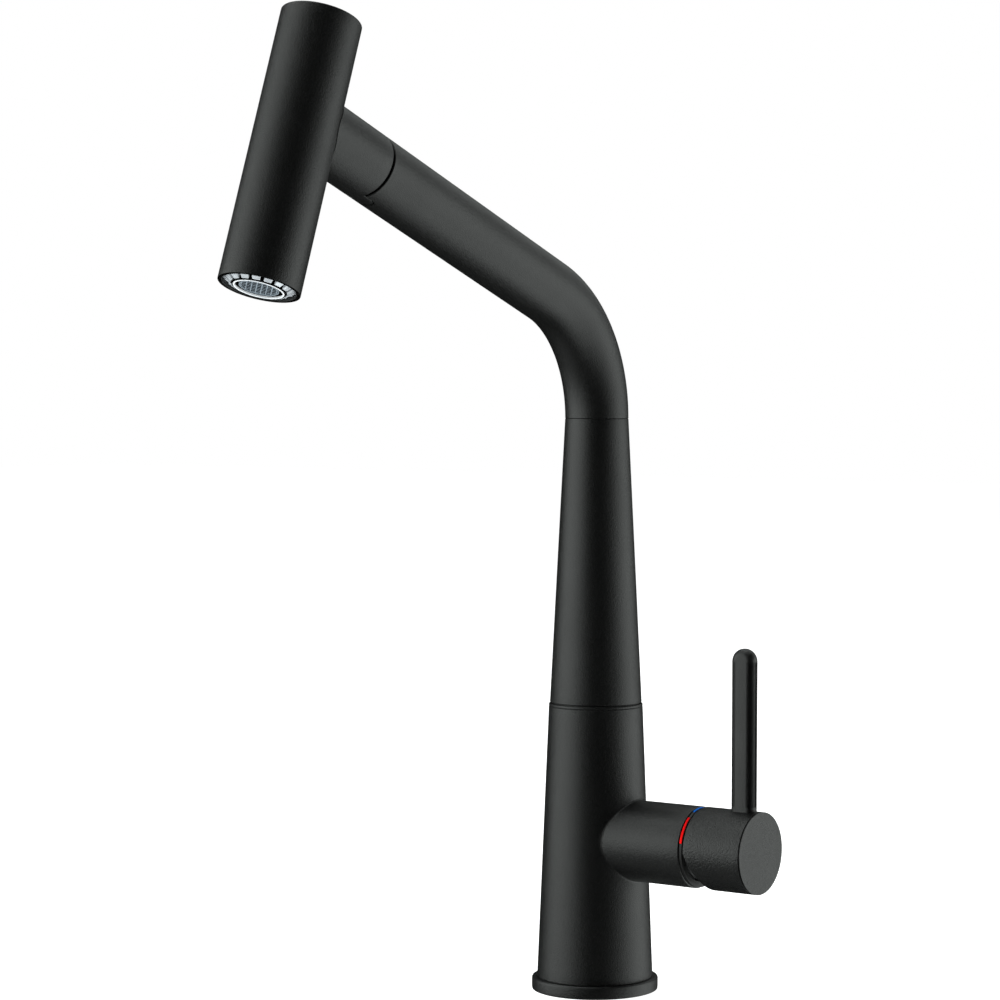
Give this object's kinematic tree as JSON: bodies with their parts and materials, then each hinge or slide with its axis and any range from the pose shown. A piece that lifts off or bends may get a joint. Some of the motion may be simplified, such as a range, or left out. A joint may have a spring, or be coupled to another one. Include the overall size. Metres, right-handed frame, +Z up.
{
  "type": "pull down kitchen faucet",
  "caption": "Deck-mounted single-lever kitchen mixer with a tapered column, swivelling angled spout and a cylindrical pull-down spray, matte black.",
  "frame": {"origin": "middle of the base ring on the worktop's top face", "axes": "+Z up, spout towards -Y, handle towards +X"},
  "size_m": [0.1015, 0.2408, 0.4312],
  "materials": {
    "matte_black_paint": "fine-textured matte black powder coat",
    "black_plastic": "moulded satin black",
    "white_plastic": "moulded natural acetal",
    "black_rubber": "moulded sealing rubber",
    "steel": "turned stainless steel",
    "brass": "machined brass",
    "ceramic": "lapped alumina",
    "chrome_face": "bright chrome",
    "hose_braid": "woven nylon braid",
    "red_mark": "red inlay",
    "blue_mark": "blue inlay"
  },
  "bodies": {
    "mixer": {"base_ring": "matte_black_paint", "base_gasket": "black_rubber", "mounting_plate": "steel", "hose_guide_bush": "black_plastic", "mounting_stud": "steel", "horseshoe_gasket": "black_rubber", "horseshoe_washer": "steel", "stud_nut": "brass", "mixer_body": "matte_black_paint", "cold_inlet_fitting": "brass", "hot_inlet_fitting": "brass", "outlet_fitting": "brass", "spout_spigot": "brass", "lower_slide_ring": "white_plastic", "upper_slide_ring": "white_plastic", "swivel_washer": "white_plastic", "cartridge_housing": "white_plastic", "fixed_ceramic_disc": "ceramic", "cold_port_seal": "black_rubber", "hot_port_seal": "black_rubber", "outlet_port_seal": "black_rubber", "cartridge_nut": "brass", "cartridge_shroud": "black_plastic", "index_ring": "black_plastic", "cold_mark": "blue_mark", "hot_mark": "red_mark"},
    "rotor": {"cartridge_rotor": "white_plastic", "stem_pivot_pin": "steel"},
    "valve_disc": {"moving_ceramic_disc": "ceramic", "disc_carrier": "white_plastic"},
    "handle": {"handle_stem": "brass", "handle_cap": "matte_black_paint", "lever_bar": "matte_black_paint", "lever_stud": "steel", "handle_grub_screw": "steel", "screw_plug": "black_plastic"},
    "spout": {"spout_column": "matte_black_paint", "spout_stop_screw": "steel", "tube_coupling": "brass", "spout_tube": "matte_black_paint", "docking_sleeve": "white_plastic", "spray_hose_lower": "hose_braid"},
    "spray": {"spray_neck": "matte_black_paint", "docking_spigot": "brass", "docking_seal": "black_rubber", "check_valve": "white_plastic", "hose_nut": "brass", "spray_hose_upper": "hose_braid", "spray_shell": "matte_black_paint", "spray_end_cap": "matte_black_paint", "spray_core": "white_plastic", "core_seal": "black_rubber", "aerator_housing": "chrome_face", "aerator_screen": "steel", "flow_regulator": "white_plastic"},
    "jet_selector": {"nozzle_ring": "chrome_face", "diverter_sleeve": "white_plastic"}
  },
  "joints": [
    {"name": "spout_swivel", "type": "hinge", "parent": "mixer", "child": "spout", "pos_m": [0, 0, 0.1136], "axis": [0, 0, 1], "range_deg": [-60, 60]},
    {"name": "lever_turn", "type": "hinge", "parent": "mixer", "child": "rotor", "pos_m": [0.0455, 0, 0.0603], "axis": [1, 0, 0], "range_deg": [0, 90]},
    {"name": "lever_lift", "type": "hinge", "parent": "rotor", "child": "handle", "pos_m": [0.0455, 0, 0.0603], "axis": [0, 1, 0], "range_deg": [0, 24]},
    {"name": "valve_disc_slide", "type": "slide", "parent": "rotor", "child": "valve_disc", "axis": [0, 0, 1], "range_m": [0, 0.006]},
    {"name": "spray_pull", "type": "slide", "parent": "spout", "child": "spray", "axis": [0, -0.9385, 0.3453], "range_m": [0, 0.3]},
    {"name": "jet_selector_turn", "type": "hinge", "parent": "spray", "child": "jet_selector", "pos_m": [0, -0.18202, 0.32933], "axis": [0, -0.3305, -0.9438], "range_deg": [0, 90]}
  ],
  "couplings": [
    {"joint": "valve_disc_slide", "follows": "lever_lift", "m_per_rad": 0.014}
  ]
}
